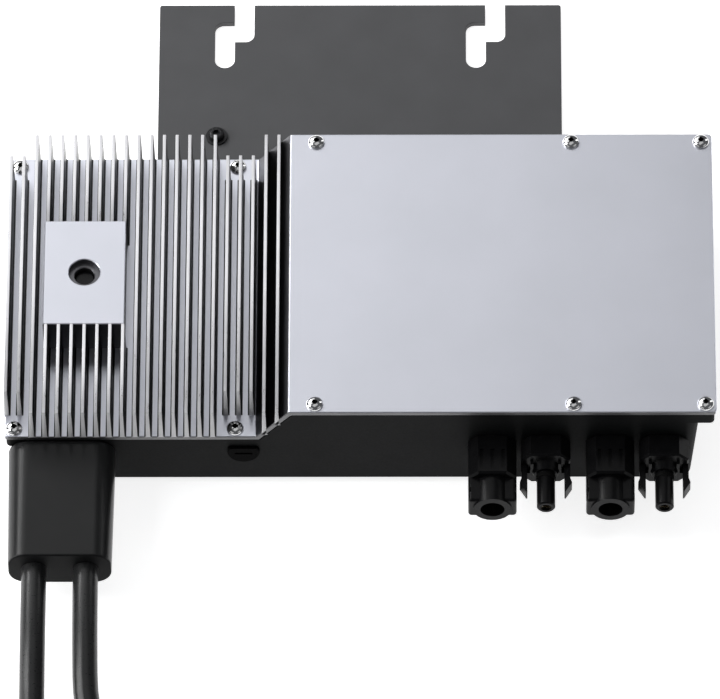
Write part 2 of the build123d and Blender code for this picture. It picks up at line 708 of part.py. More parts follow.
def light_pipe():
    """Smoked lens under the lid's window and the pipe that brings the light up to it."""
    top = PLATE_Z - WINDOW_DEPTH - 2.4
    pipe = post(WINDOW_X, WINDOW_Y, top - 9, top, LIGHT_PIPE_R - 0.05)
    pipe = fillet(pipe.edges().sort_by(Axis.Z)[-1], 0.6)
    return pipe + post(WINDOW_X, WINDOW_Y, BOARD_TOP + 4.2, top - 8, 2.6)


def status_led():
    x, y = WINDOW_X, WINDOW_Y
    base = slab(x - 1.8, x + 1.8, y - 1.5, y + 1.5, BOARD_TOP, BOARD_TOP + 1.2)
    return base + post(x, y, BOARD_TOP + 1, BOARD_TOP + 4, 1.6)


# ---------------------------------------------------------------- electronics

def main_board():
    board = slab(13.5, 263.5, 8.0, 124.0, BOARD_Z, BOARD_TOP)
    board = fillet(board.edges().filter_by(Axis.Z), 3.0)
    for x, y in STANDOFFS:
        board -= post(x, y, BOARD_Z - 1, BOARD_TOP + 1, 1.7)
    return board


def board_standoffs():
    items = []
    for x, y in STANDOFFS:
        hexagon = extrude(Pos(x, y, FLOOR_Z) * RegularPolygon(3.2, 6), amount=BOARD_Z - FLOOR_Z)
        items.append(hexagon - post(x, y, FLOOR_Z + 0.8, BOARD_Z + 1, 1.3))
    return items


def board_screws():
    items = []
    for x, y in STANDOFFS:
        head = post(x, y, BOARD_TOP, BOARD_TOP + 1.8, 2.7)
        head = fillet(head.edges().sort_by(Axis.Z)[-1], 0.8)
        head -= slab(x - 1.4, x + 1.4, y - 0.35, y + 0.35, BOARD_TOP + 1.0, BOARD_TOP + 3)
        items.append(head + post(x, y, FLOOR_Z + 1.2, BOARD_TOP + 0.2, 1.25))
    return items


TRANSFORMERS_X = (160.0, 214.0)
TRANSFORMER_Y = 84.0
CORE_W, CORE_L, CORE_H = 38.0, 34.0, 30.0
WINDOW_W, WINDOW_H = 26.0, 20.0
LEG_W = 11.0


def transformer_core(x):
    z0 = BOARD_TOP + 1.0
    y = TRANSFORMER_Y
    core = slab(x - CORE_W / 2, x + CORE_W / 2, y - LEG_W / 2, y + LEG_W / 2, z0, z0 + CORE_H)
    hole = slab(x - WINDOW_W / 2, x + WINDOW_W / 2, y - LEG_W, y + LEG_W, z0 + 5, z0 + 5 + WINDOW_H)
    leg = slab(x - LEG_W / 2, x + LEG_W / 2, y - LEG_W / 2, y + LEG_W / 2, z0 + 1, z0 + CORE_H - 1)
    return core - hole + leg


def transformer_winding(x):
    """The taped winding on its bobbin, round the core's middle leg."""
    z0 = BOARD_TOP + 6.2
    y = TRANSFORMER_Y
    height = WINDOW_H - 0.4
    bobbin = Pos(x, y, z0) * extrude(RectangleRounded(WINDOW_W - 1, CORE_L, 6), amount=height)
    for z in (z0 + height * 0.33, z0 + height * 0.66):
        ring = extrude(RectangleRounded(WINDOW_W + 1, CORE_L + 1, 6), amount=0.4)
        ring -= Pos(0, 0, -1) * extrude(RectangleRounded(WINDOW_W - 1.6, CORE_L - 0.6, 6), amount=3)
        bobbin -= Pos(x, y, z) * ring
    leg = LEG_W / 2 + 0.1
    return bobbin - slab(x - leg, x + leg, y - leg, y + leg, 0, 60)


def transformer_feet(x):
    """Pin carriers that stand the windings on the board, either side of the core."""
    y0, y1 = TRANSFORMER_Y - CORE_L / 2, TRANSFORMER_Y + CORE_L / 2
    return [slab(x - 12, x + 12, y, y + 6, BOARD_TOP, BOARD_TOP + 6.2) for y in (y0, y1 - 6)]


def capacitor_can(x, y, radius, height):
    can = post(x, y, BOARD_TOP, BOARD_TOP + height, radius)
    can = fillet(can.edges(), 0.9)
    low = BOARD_TOP + 2.5
    groove = post(x, y, low, low + 1, radius + 1) - post(x, y, low - 1, low + 2, radius - 0.5)
    can -= groove
    for length, width in ((radius * 1.2, 0.4), (0.4, radius * 1.2)):
        top = BOARD_TOP + height
        can -= slab(x - length / 2, x + length / 2, y - width / 2, y + width / 2, top - 0.3, top + 1)
    return can


def input_capacitors():
    return [capacitor_can(150.0 + 21.0 * index, 44.0, 8.0, 31.5) for index in range(5)]


def film_capacitors():
    places = ((118.0, 94.0), (118.0, 112.0), (66.0, 20.0))
    boxes = []
    for x, y in places:
        box = slab(x - 13, x + 13, y - 5, y + 5, BOARD_TOP, BOARD_TOP + 15)
        boxes.append(fillet(box.edges().filter_by(Axis.Z), 0.8))
    return boxes


TRANSISTORS = ((60.0, 50.0), (60.0, 66.0), (60.0, 82.0), (78.0, 50.0), (78.0, 66.0), (78.0, 82.0))
PAD_T = 0.5


def power_transistors():
    """Flat packages that hang under the fin field, with legs bent down to the board."""
    top = ROOT_Z - LID_T - PAD_T
    items = []
    for x, y in TRANSISTORS:
        body = slab(x - 5, x + 5, y - 5, y + 5, top - 4.4, top)
        body = chamfer(body.edges().group_by(Axis.Z)[0], 0.5)
        for offset in (-2.5, 0, 2.5):
            reach = x - 7
            body += slab(reach, x - 4.8, y + offset - 0.4, y + offset + 0.4, top - 2.6, top - 2.1)
            body += slab(reach, reach + 0.5, y + offset - 0.4, y + offset + 0.4, BOARD_TOP, top - 2.1)
        items.append(body)
    return items


def thermal_pads():
    top = ROOT_Z - LID_T
    return [slab(x - 6, x + 6, y - 6, y + 6, top - PAD_T, top) for x, y in TRANSISTORS]


CHOKE_X, CHOKE_Y = 108.0, 34.0
CHOKE_R, CHOKE_HOLE_R, CHOKE_H = 10.0, 5.6, 10.0
WIRE_R = 1.1


def filter_choke_core():
    z = BOARD_TOP + 3.4
    ring = post(CHOKE_X, CHOKE_Y, z, z + CHOKE_H, CHOKE_R)
    ring -= post(CHOKE_X, CHOKE_Y, z - 1, z + CHOKE_H + 1, CHOKE_HOLE_R)
    return fillet(ring.edges(), 0.8)


def filter_choke_winding():
    """Separate turns of thick wire round the ring, each a closed band."""
    z = BOARD_TOP + 3.4
    gap = 0.15
    turns = []
    inner, outer = CHOKE_HOLE_R - gap, CHOKE_R + gap
    for index in range(12):
        angle = 26 * index + 37
        wrap = 2 * WIRE_R
        band = slab(inner - wrap, outer + wrap, -0.9, 0.9, z - wrap, z + CHOKE_H + wrap)
        band = fillet(band.edges().filter_by(Axis.Y), 1.6)
        band -= slab(inner, outer + 0.08, -3, 3, z - gap, z + CHOKE_H + gap)
        turns.append(Pos(CHOKE_X, CHOKE_Y, 0) * Rot(0, 0, angle) * band)
    return turns


def grid_relays():
    return [
        fillet(slab(x, x + 12.6, 96.0, 118.0, BOARD_TOP, BOARD_TOP + 15.5).edges().filter_by(Axis.Z), 0.6)
        for x in (36.0, 54.0)
    ]


def varistor():
    disc = Pos(36, 40, BOARD_TOP + 8.2) * Rot(90, 0, 0) * Cylinder(7.0, 4.0)
    return fillet(disc.edges().filter_by(GeomType.CIRCLE), 1.2)


def fuse():
    tube = rod_x(31.0, BOARD_TOP + 4.0, 72.0, 90.0, 2.5)
    caps = rod_x(31.0, BOARD_TOP + 4.0, 70.5, 76.0, 3.0) + rod_x(31.0, BOARD_TOP + 4.0, 86.0, 91.5, 3.0)
    clips = slab(71.5, 75.0, 28.6, 33.4, BOARD_TOP, BOARD_TOP + 2)
    clips += slab(87.0, 90.5, 28.6, 33.4, BOARD_TOP, BOARD_TOP + 2)
    return tube + caps + clips


def control_chips():
    """Controller, gate drivers and sensor packages on the board."""
    chips = [
        (98.0, 66.0, 12.0, 12.0, 1.4),
        (118.0, 66.0, 7.0, 7.0, 1.2),
        (98.0, 84.0, 5.0, 6.0, 1.6),
        (136.0, 62.0, 6.0, 5.0, 1.6),
        (190.0, 62.0, 6.0, 5.0, 1.6),
        (238.0, 66.0, 6.0, 5.0, 1.6),
    ]
    bodies = []
    for x, y, w, d, h in chips:
        bodies.append(slab(x - w / 2, x + w / 2, y - d / 2, y + d / 2, BOARD_TOP, BOARD_TOP + h))
    return bodies


TERMINAL_Y = 27.0


def ac_terminals():
    block = slab(13.8, 29.0, TERMINAL_Y - 4, TERMINAL_Y + 5, BOARD_TOP, BOARD_TOP + 10)
    for index in range(3):
        x = 16.4 + 5.0 * index
        block -= rod(x, BOARD_TOP + 5, TERMINAL_Y - 5, TERMINAL_Y + 3, 1.35)
        block -= post(x, TERMINAL_Y, BOARD_TOP + 6.0, BOARD_TOP + 11, 1.6)
    return block


def ac_wires():
    """Three cores from the cable block to the terminal block."""
    wires = []
    z = BOARD_TOP + 5
    for index in range(3):
        x = 16.4 + 5.0 * index
        x0 = SPIGOT_X + (index - 1) * 5.0
        points = [
            (x0, SPIGOT_END_Y, BLOCK_Z),
            (x0, SPIGOT_END_Y + 3, BLOCK_Z),
            (x, TERMINAL_Y - 6.5, z),
            (x, TERMINAL_Y + 2, z),
        ]
        route = FilletPolyline(*points, radius=1.6)
        wires.append(sweep(Plane(origin=route @ 0, z_dir=route % 0) * Circle(1.2), path=route))
    return wires


def dc_wires():
    """One core from each DC contact down to the board."""
    wires = []
    for x in SOCKET_X + PIN_X:
        points = [(x, 14, DC_Z), (x, 22, DC_Z), (x, 22, BOARD_TOP)]
        route = FilletPolyline(*points, radius=5.0)
        wires.append(sweep(Plane(origin=route @ 0, z_dir=route % 0) * Circle(1.9), path=route))
    return wires


# ---------------------------------------------------------------- the nodes

save("heatsink_lid", heatsink_lid())
save("lid_gasket", lid_gasket())
save("rear_tray", rear_tray())
save("lid_screws", *lid_screws())
save("mounting_bracket", mounting_bracket())
save("bracket_screws", *bracket_screws())
save("earth_screw", earth_screw())
save("earth_washer", earth_washer())
save("breather_vent", breather_vent())
save("ac_cable_block", ac_cable_block())
save("ac_block_seal", ac_block_seal())
save("ac_block_retainer", ac_block_retainer())

coil_1 = coil(COIL_1)
coil_2 = coil(COIL_2)
save("ac_lead_1", lead(LEAD_1_ROUTE) - coil_1)
save("ac_lead_1_coil", coil_1)
save("ac_lead_1_tail", lead(LEAD_1_TAIL) - coil_1)
save("ac_lead_2", lead(LEAD_2_ROUTE) - coil_2)
save("ac_lead_2_coil", coil_2)
save("ac_lead_2_tail", lead(LEAD_2_TAIL) - coil_2)
save("coil_ties", coil_tie(COIL_1, 225), coil_tie(COIL_2, 45))

save("ac_end_glands", at_plug(gland_nut()), at_socket(gland_nut()))
save("ac_plug_shell", at_plug(cable_bore(shell_grooves(end_shell(8, 8.8)))))
save("ac_plug_insert", at_plug(insert(GLAND_LEN + 14, FACE_X + 2)))
save("ac_plug_contacts", *[at_plug(c) for c in contacts(GLAND_LEN + 12, FACE_X + 7, CONTACT_R)])
save("ac_coupling_nut", at_plug(coupling_nut()))
save("ac_socket_shell", at_socket(cable_bore(shell_grooves(end_shell(12, 10.4)))))
save("ac_socket_insert", at_socket(insert(GLAND_LEN + 14, FACE_X + 11)))
save("ac_socket_contacts", *[at_socket(c) for c in contacts(GLAND_LEN + 12, FACE_X + 6, CONTACT_R)])

for number, x in enumerate(SOCKET_X, 1):
    save(f"dc_socket_housing_{number}", dc_socket_housing(x))
for number, x in enumerate(PIN_X, 1):
    save(f"dc_pin_housing_{number}", dc_pin_housing(x))
    save(f"dc_latch_{number}_left", latch_arm(x, -1))
    save(f"dc_latch_{number}_right", latch_arm(x, 1))
save("dc_socket_contacts", *[dc_socket_contact(x) for x in SOCKET_X])
save("dc_pin_contacts", *[dc_pin_contact(x) for x in PIN_X])
save("dc_o_rings", *[dc_o_ring(x) for x in PIN_X])
save("dc_panel_seals", *[dc_panel_seal(x) for x in SOCKET_X + PIN_X])
save("dc_lock_nuts", *[dc_lock_nut(x) for x in SOCKET_X + PIN_X])

save("light_pipe", light_pipe())
save("status_led", status_led())
save("main_board", main_board())
save("board_standoffs", *board_standoffs())
save("board_screws", *board_screws())
save("transformer_cores", *[transformer_core(x) for x in TRANSFORMERS_X])
save("transformer_windings", *[transformer_winding(x) + transformer_feet(x) for x in TRANSFORMERS_X])
save("input_capacitors", *input_capacitors())
save("film_capacitors", *film_capacitors())
save("power_transistors", *power_transistors())
save("thermal_pads", *thermal_pads())
save("filter_choke_core", filter_choke_core())
save("filter_choke_winding", *filter_choke_winding())
save("grid_relays", *grid_relays())
save("varistor", varistor())
save("fuse", fuse())
save("control_chips", *control_chips())
save("ac_terminals", ac_terminals())
save("ac_wires", *ac_wires())
save("dc_wires", *dc_wires())
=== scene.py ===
import json
from math import cos, pi, radians, sin

import bmesh
import bpy
from mathutils import Matrix, Vector


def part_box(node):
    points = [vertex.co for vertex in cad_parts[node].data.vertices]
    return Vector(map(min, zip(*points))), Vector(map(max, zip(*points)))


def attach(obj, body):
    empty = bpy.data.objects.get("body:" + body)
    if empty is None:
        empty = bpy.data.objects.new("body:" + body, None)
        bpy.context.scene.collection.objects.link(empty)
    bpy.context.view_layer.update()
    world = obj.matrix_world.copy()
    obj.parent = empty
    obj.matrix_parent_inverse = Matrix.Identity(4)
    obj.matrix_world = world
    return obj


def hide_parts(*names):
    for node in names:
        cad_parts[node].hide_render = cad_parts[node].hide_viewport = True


# The looks of the micro inverter. Metres; the casing lies on its back on the floor, the
# finned lid faces +z, the hook slots point to +y, connectors and AC leads to -y.

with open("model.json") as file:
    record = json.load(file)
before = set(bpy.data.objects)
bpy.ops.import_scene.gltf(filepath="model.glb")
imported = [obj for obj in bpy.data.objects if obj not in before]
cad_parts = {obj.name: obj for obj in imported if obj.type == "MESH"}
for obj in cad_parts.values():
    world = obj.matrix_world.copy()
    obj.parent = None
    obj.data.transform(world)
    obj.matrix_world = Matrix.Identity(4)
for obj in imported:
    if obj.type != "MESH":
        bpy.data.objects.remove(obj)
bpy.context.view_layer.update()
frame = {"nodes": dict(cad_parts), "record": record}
scene = bpy.context.scene
MM = 0.001

# ---- places taken from the frame
LID_LOW, LID_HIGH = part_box("heatsink_lid")
BLOCK_LOW, BLOCK_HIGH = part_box("ac_cable_block")
PIPE_LOW, PIPE_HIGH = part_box("light_pipe")

LEFT = LID_LOW.x
LOWER = LID_LOW.y
UPPER = LID_HIGH.y
PLATE_Z = LID_HIGH.z
LID_T = 2.2 * MM
FIN_HEIGHT = 16.9 * MM
ROOT_Z = PLATE_Z - FIN_HEIGHT
SLOPE_FOOT = LEFT + 98.2 * MM
SLOPE_TOP = LEFT + 110.8 * MM

FIN_PITCH = 5.02 * MM
FIN_FIRST = LEFT + 0.95 * MM
FIN_TIP_T = 1.3 * MM
FIN_ROOT_T = 1.9 * MM
FIN_GAP = 10.0 * MM

PAD_X = (LEFT + 14.8 * MM, LEFT + 46.6 * MM)
PAD_Y = (LOWER + 41.7 * MM, LOWER + 90.6 * MM)
WINDOW = (PIPE_LOW + PIPE_HIGH) / 2
WINDOW_R = 6.1 * MM
WINDOW_STEP = 2.6 * MM
PIPE_R = 3.9 * MM

SCREW_INSET = 3.8 * MM
SCREW_ROWS = (LOWER + SCREW_INSET, UPPER - 4.0 * MM)
FIELD_SCREWS = (LEFT + 3.9 * MM, LEFT + 90.0 * MM)
COVER_SCREWS = (LEFT + 121.1 * MM, LEFT + 221.5 * MM, LEFT + 272.7 * MM)
HEAD_R = 3.3 * MM
HEAD_H = 2.1 * MM

LEAD_R = 4.9 * MM


# ---------------------------------------------------------------- camera and studio

def add_camera():
    """A long lens, tilted a third of the way from straight above towards the connectors."""
    tilt = radians(34.3)
    aside, below, roll = -0.00706, 0.00397, radians(-0.07)
    place = Vector((0.0286, -2.3204, 3.3936))
    lens = bpy.data.cameras.new("camera")
    lens.lens = 518.8
    lens.sensor_width = 36.0
    lens.clip_end = 50.0
    camera = bpy.data.objects.new("camera", lens)
    scene.collection.objects.link(camera)
    upright = Vector((0, cos(tilt), sin(tilt)))
    ahead = Vector((aside, sin(tilt), -cos(tilt))) - below * upright
    ahead.normalize()
    right = ahead.cross(upright).normalized()
    above = right.cross(ahead)
    turn = Matrix((right, above, -ahead)).transposed().to_4x4()
    camera.matrix_world = Matrix.Translation(place) @ turn @ Matrix.Rotation(roll, 4, "Z")
    bpy.context.scene.camera = camera


def area_light(name, place, target, size, power):
    lamp = bpy.data.lights.new(name, "AREA")
    lamp.shape = "RECTANGLE"
    lamp.size, lamp.size_y = size
    lamp.energy = power
    holder = bpy.data.objects.new(name, lamp)
    holder.location = place
    holder.rotation_euler = (Vector(target) - Vector(place)).to_track_quat("-Z", "Y").to_euler()
    scene.collection.objects.link(holder)


def add_studio():
    world = bpy.data.worlds.new("studio")
    world.use_nodes = True
    back = world.node_tree.nodes["Background"]
    back.inputs["Color"].default_value = (0.93, 0.95, 1.0, 1)
    back.inputs["Strength"].default_value = 0.1
    scene.world = world
    area_light("back_sheet", (-0.72, 0.95, 1.2), (-0.2, 0, 0), (1.9, 1.5), 8.6)
    area_light("left_strip", (-1.3, -0.1, 0.75), (0, 0, 0), (0.4, 1.5), 13.0)
    area_light("corner_strip", (-0.87, 0.81, 0.83), (-0.1, 0, 0), (0.8, 0.22), 6.0)
    area_light("right_strip", (1.1, 0.86, 0.63), (0, 0, 0), (0.3, 0.9), 1.3)
    area_light("front_left_sheet", (-1.2, -1.3, 1.0), (0, 0, 0), (1.4, 1.0), 1.7)
    area_light("front_right_sheet", (1.4, -0.9, 1.0), (0, 0, 0), (1.2, 1.0), 1.3)
    area_light("overhead_sheet", (0.1, -0.1, 1.9), (0, 0, 0), (1.4, 0.9), 1.7)
    scene.view_settings.view_transform = "Standard"


def add_floor():
    mesh = bpy.data.meshes.new("floor")
    half = 4.0
    corners = [(-half, -half, 0), (half, -half, 0), (half, half, 0), (-half, half, 0)]
    mesh.from_pydata(corners, [], [(0, 1, 2, 3)])
    floor = bpy.data.objects.new("floor", mesh)
    scene.collection.objects.link(floor)
    paper = bpy.data.materials.new("pale_floor")
    paper.use_nodes = True
    shader = paper.node_tree.nodes["Principled BSDF"]
    shader.inputs["Base Color"].default_value = (0.93, 0.93, 0.93, 1)
    shader.inputs["Roughness"].default_value = 0.9
    shader.inputs["Emission Color"].default_value = (1, 1, 1, 1)
    shader.inputs["Emission Strength"].default_value = 0.8
    floor.data.materials.append(paper)


# ---------------------------------------------------------------- finishes

def link(tree, source, target):
    tree.links.new(source, target)


def grain(tree, scale, detail=3.0, stretch=(1, 1, 1)):
    """Noise over the piece, with the number of grains per metre as its scale."""
    place = tree.nodes.new("ShaderNodeTexCoord")
    mapping = tree.nodes.new("ShaderNodeMapping")
    mapping.inputs["Scale"].default_value = stretch
    noise = tree.nodes.new("ShaderNodeTexNoise")
    noise.inputs["Scale"].default_value = scale
    noise.inputs["Detail"].default_value = detail
    link(tree, place.outputs["Object"], mapping.inputs["Vector"])
    link(tree, mapping.outputs["Vector"], noise.inputs["Vector"])
    return noise.outputs["Fac"]


def spread(tree, value, low, high):
    """Stretch the middle of a noise to the range from low to high."""
    span = tree.nodes.new("ShaderNodeMapRange")
    span.inputs["From Min"].default_value = 0.3
    span.inputs["From Max"].default_value = 0.7
    span.inputs["To Min"].default_value = low
    span.inputs["To Max"].default_value = high
    link(tree, value, span.inputs["Value"])
    return span.outputs["Result"]


def blended(tree, value, colour_a, colour_b):
    mix = tree.nodes.new("ShaderNodeMix")
    mix.data_type = "RGBA"
    mix.inputs["A"].default_value = (*colour_a, 1)
    mix.inputs["B"].default_value = (*colour_b, 1)
    link(tree, value, mix.inputs["Factor"])
    return mix.outputs["Result"]


def bumped(tree, value, depth):
    bump = tree.nodes.new("ShaderNodeBump")
    bump.inputs["Strength"].default_value = 1.0
    bump.inputs["Distance"].default_value = depth
    link(tree, value, bump.inputs["Height"])
    return bump.outputs["Normal"]


def surface(name, light, dark, rough, grains, depth, metallic=0.0, mottle=60, stretch=(1, 1, 1), **sockets):
    """A finish with slow colour variation, fine grain in its gloss and a shallow relief."""
    material = bpy.data.materials.new(name)
    material.use_nodes = True
    tree = material.node_tree
    shader = tree.nodes["Principled BSDF"]
    shader.inputs["Metallic"].default_value = metallic
    slow = spread(tree, grain(tree, mottle, 4.0), 0.0, 1.0)
    link(tree, blended(tree, slow, light, dark), shader.inputs["Base Color"])
    fine = grain(tree, grains, 3.0, stretch)
    link(tree, spread(tree, fine, *rough), shader.inputs["Roughness"])
    link(tree, bumped(tree, fine, depth), shader.inputs["Normal"])
    for socket, value in sockets.items():
        shader.inputs[socket.replace("_", " ")].default_value = value
    return material


def painted_shading_below(material, z_range, share):
    """Multiplies a finish's colour by share below z_range, fading in across it: painted light where share is
    above one, painted shade where it is below.
    """
    tree = material.node_tree
    shader = tree.nodes["Principled BSDF"]
    paint = shader.inputs["Base Color"].links[0].from_socket
    place = tree.nodes.new("ShaderNodeTexCoord")
    split = tree.nodes.new("ShaderNodeSeparateXYZ")
    span = tree.nodes.new("ShaderNodeMapRange")
    span.interpolation_type = "SMOOTHSTEP"
    span.inputs["From Min"].default_value, span.inputs["From Max"].default_value = z_range
    span.inputs["To Min"].default_value = 1.0
    span.inputs["To Max"].default_value = 0.0
    mix = tree.nodes.new("ShaderNodeMix")
    mix.data_type = "RGBA"
    mix.blend_type = "MULTIPLY"
    mix.inputs["B"].default_value = (share, share, share, 1)
    link(tree, place.outputs["Object"], split.inputs["Vector"])
    link(tree, split.outputs["Z"], span.inputs["Value"])
    link(tree, span.outputs["Result"], mix.inputs["Factor"])
    link(tree, paint, mix.inputs["A"])
    link(tree, mix.outputs["Result"], shader.inputs["Base Color"])
    return material


def blasted_aluminium():
    """Cover, pad and field. The colour is set a little lighter low down: painted light on the field between
    the fins.
    """
    finish = surface(
        "blasted_aluminium", (0.775, 0.79, 0.865), (0.735, 0.752, 0.82), (0.30, 0.40), 1600, 0.012 * MM,
        metallic=1.0, mottle=24,
    )
    return painted_shading_below(finish, (ROOT_Z + 0.4 * MM, PLATE_Z - 1.0 * MM), 1.12)


def drawn_fins():
    """Fins with faint lines along their length. Below the tips the colour is cut to 13 %:
    it stands in for shade between the fins, and is too dark for a studio other than this one."""
    finish = surface(
        "drawn_fins", (0.92, 0.92, 0.94), (0.85, 0.85, 0.87), (0.26, 0.40), 1500, 0.01 * MM,
        metallic=1.0, mottle=40, stretch=(1, 0.08, 1),
    )
    return painted_shading_below(finish, (PLATE_Z - 2.0 * MM, PLATE_Z - 0.6 * MM), 0.13)


def painted_light_fin_ends():
    """The fins' end faces, a matt copy of the aluminium set paler than their sides: painted light."""
    return surface("painted_light_fin_ends", (0.74, 0.74, 0.755), (0.64, 0.64, 0.65), (0.45, 0.55), 2400, 0.01 * MM)


def shaded_slope():
    """A dark finish that stands in for shade on the step beside the cover and on the pad's sides."""
    return surface(
        "shaded_slope", (0.2, 0.2, 0.212), (0.15, 0.15, 0.16), (0.34, 0.46), 1600, 0.015 * MM, metallic=1.0,
    )


def painted_shade_lower_edge():
    """A dull dark copy of the aluminium for the thin lower edge of the lid, so that it doesn't glare: painted
    shade.
    """
    return surface(
        "painted_shade_lower_edge", (0.2, 0.2, 0.205), (0.15, 0.15, 0.155), (0.4, 0.5), 2000, 0.01 * MM, metallic=1.0,
    )


def satin_black_coat():
    return surface(
        "satin_black_coat", (0.0095, 0.0099, 0.0103), (0.0075, 0.0079, 0.0082), (0.45, 0.58), 1300, 0.02 * MM,
        Specular_IOR_Level=0.05,
    )


def grey_plate_coat():
    return surface(
        "grey_plate_coat", (0.104, 0.105, 0.110), (0.094, 0.095, 0.099), (0.5, 0.62), 1500, 0.012 * MM,
        Specular_IOR_Level=0.3,
    )


def bright_steel():
    return surface(
        "bright_steel", (0.9, 0.9, 0.9), (0.8, 0.8, 0.81), (0.07, 0.14), 2400, 0.004 * MM,
        metallic=1.0, mottle=500,
    )


def black_steel():
    return surface(
        "black_steel", (0.03, 0.03, 0.032), (0.018, 0.018, 0.02), (0.3, 0.45), 2000, 0.006 * MM,
        metallic=0.6, mottle=400,
    )


def moulded_block():
    return surface(
        "moulded_block", (0.012, 0.0124, 0.0128), (0.009, 0.0094, 0.0097), (0.28, 0.38), 2200, 0.008 * MM,
        Specular_IOR_Level=0.3,
    )


def matt_block_end():
    """A matt finish for the face that the leads come out of, so that it hardly mirrors the floor."""
    return surface(
        "matt_block_end", (0.010, 0.0104, 0.0108), (0.008, 0.0083, 0.0086), (0.5, 0.6), 2200, 0.012 * MM,
        Specular_IOR_Level=0.08,
    )


def lead_jacket():
    return surface(
        "lead_jacket", (0.022, 0.0225, 0.023), (0.016, 0.0165, 0.017), (0.26, 0.38), 1400, 0.01 * MM,
        mottle=90, Specular_IOR_Level=0.45,
    )


def connector_plastic():
    return surface(
        "connector_plastic", (0.006, 0.006, 0.0065), (0.004, 0.004, 0.0045), (0.26, 0.38), 2600, 0.006 * MM,
        mottle=200, Specular_IOR_Level=0.13,
    )


def seal_rubber():
    return surface(
        "seal_rubber", (0.0065, 0.0065, 0.0065), (0.004, 0.004, 0.004), (0.6, 0.75), 1800, 0.012 * MM,
        Specular_IOR_Level=0.1,
    )


def shaded_vent_rubber():
    """Near black: the vent's own black, darker still as painted shade under the rim, so that it shows against
    the tray.
    """
    return surface(
        "shaded_vent_rubber", (0.0014, 0.0014, 0.0015), (0.0009, 0.0009, 0.001), (0.6, 0.75), 1800, 0.012 * MM,
        Specular_IOR_Level=0.03,
    )


def tinned_brass():
    return surface(
        "tinned_brass", (0.72, 0.66, 0.54), (0.62, 0.55, 0.42), (0.2, 0.32), 2600, 0.003 * MM,
        metallic=1.0, mottle=600,
    )


def smoked_lens():
    return surface(
        "smoked_lens", (0.006, 0.006, 0.007), (0.004, 0.004, 0.005), (0.25, 0.35), 900, 0.002 * MM,
        Specular_IOR_Level=0.25,
    )


def solder_mask():
    return surface(
        "solder_mask", (0.015, 0.16, 0.06), (0.01, 0.09, 0.035), (0.25, 0.4), 700, 0.02 * MM, mottle=300,
    )


def sintered_ferrite():
    return surface(
        "sintered_ferrite", (0.05, 0.05, 0.055), (0.03, 0.03, 0.034), (0.45, 0.6), 1800, 0.015 * MM,
    )


def winding_tape():
    return surface(
        "winding_tape", (0.72, 0.50, 0.06), (0.6, 0.4, 0.04), (0.2, 0.34), 900, 0.02 * MM,
        stretch=(0.2, 0.2, 3),
    )


def copper_wire():
    return surface(
        "copper_wire", (0.72, 0.32, 0.12), (0.55, 0.22, 0.08), (0.18, 0.3), 1500, 0.004 * MM, metallic=0.9,
    )


def can_sleeve():
    return surface("can_sleeve", (0.02, 0.03, 0.06), (0.014, 0.02, 0.045), (0.2, 0.32), 900, 0.006 * MM)


def film_case():
    return surface("film_case", (0.5, 0.42, 0.28), (0.42, 0.35, 0.22), (0.4, 0.55), 1600, 0.01 * MM)


def chip_resin():
    return surface("chip_resin", (0.02, 0.02, 0.021), (0.013, 0.013, 0.014), (0.5, 0.65), 2600, 0.008 * MM)


def thermal_pad():
    return surface("thermal_pad", (0.3, 0.34, 0.4), (0.25, 0.28, 0.33), (0.6, 0.75), 1400, 0.02 * MM)


def relay_case():
    return surface("relay_case", (0.06, 0.14, 0.32), (0.045, 0.1, 0.25), (0.35, 0.45), 1800, 0.008 * MM)


def coated_disc():
    return surface("coated_disc", (0.05, 0.15, 0.35), (0.03, 0.1, 0.26), (0.3, 0.45), 1200, 0.03 * MM)


def clear_led():
    return surface("clear_led", (0.75, 0.8, 0.75), (0.65, 0.72, 0.66), (0.05, 0.1), 600, 0.002 * MM)


def core_insulation():
    return surface("core_insulation", (0.25, 0.02, 0.02), (0.18, 0.012, 0.012), (0.35, 0.48), 1200, 0.01 * MM)


def terminal_plastic():
    return surface("terminal_plastic", (0.04, 0.26, 0.1), (0.03, 0.2, 0.07), (0.4, 0.5), 1800, 0.008 * MM)


def hook_and_loop():
    return surface(
        "hook_and_loop", (0.02, 0.02, 0.022), (0.01, 0.01, 0.011), (0.8, 0.95), 1500, 0.2 * MM,
        Sheen_Weight=0.4,
    )


def fuse_ceramic():
    return surface("fuse_ceramic", (0.78, 0.75, 0.68), (0.7, 0.67, 0.6), (0.3, 0.42), 1500, 0.006 * MM)


FINISHES = {
    "lid_aluminium": blasted_aluminium(),
    "tray_black": satin_black_coat(),
    "bracket_grey": grey_plate_coat(),
    "bright_steel": bright_steel(),
    "black_steel": black_steel(),
    "block_plastic": moulded_block(),
    "lead_jacket": lead_jacket(),
    "seal_rubber": seal_rubber(),
    "connector_plastic": connector_plastic(),
    "contact_metal": tinned_brass(),
    "smoked_lens": smoked_lens(),
    "board_green": solder_mask(),
    "ferrite": sintered_ferrite(),
    "winding_tape": winding_tape(),
    "copper_wire": copper_wire(),
    "can_sleeve": can_sleeve(),
    "film_box": film_case(),
    "chip_black": chip_resin(),
    "thermal_grey": thermal_pad(),
    "relay_case": relay_case(),
    "ceramic_blue": coated_disc(),
    "led_clear": clear_led(),
    "wire_cover": core_insulation(),
    "terminal_green": terminal_plastic(),
    "tie_fabric": hook_and_loop(),
    "fuse_ceramic": fuse_ceramic(),
}
SLOT_OF = {part["node"]: part["material_slot"] for part in frame["record"]["subparts"]}
FIN_FINISH = drawn_fins()


def dress_cad_nodes():
    for name, piece in frame["nodes"].items():
        piece.data.materials.clear()
        piece.data.materials.append(FINISHES[SLOT_OF[name]])


# ---------------------------------------------------------------- mesh helpers

def new_piece(name, mesh, finish):
    mesh.materials.clear()
    mesh.materials.append(finish)
    piece = bpy.data.objects.new(name, mesh)
    scene.collection.objects.link(piece)
    return piece


def smooth(mesh, angle=35):
    mesh.shade_smooth()
    mesh.set_sharp_from_angle(angle=radians(angle))


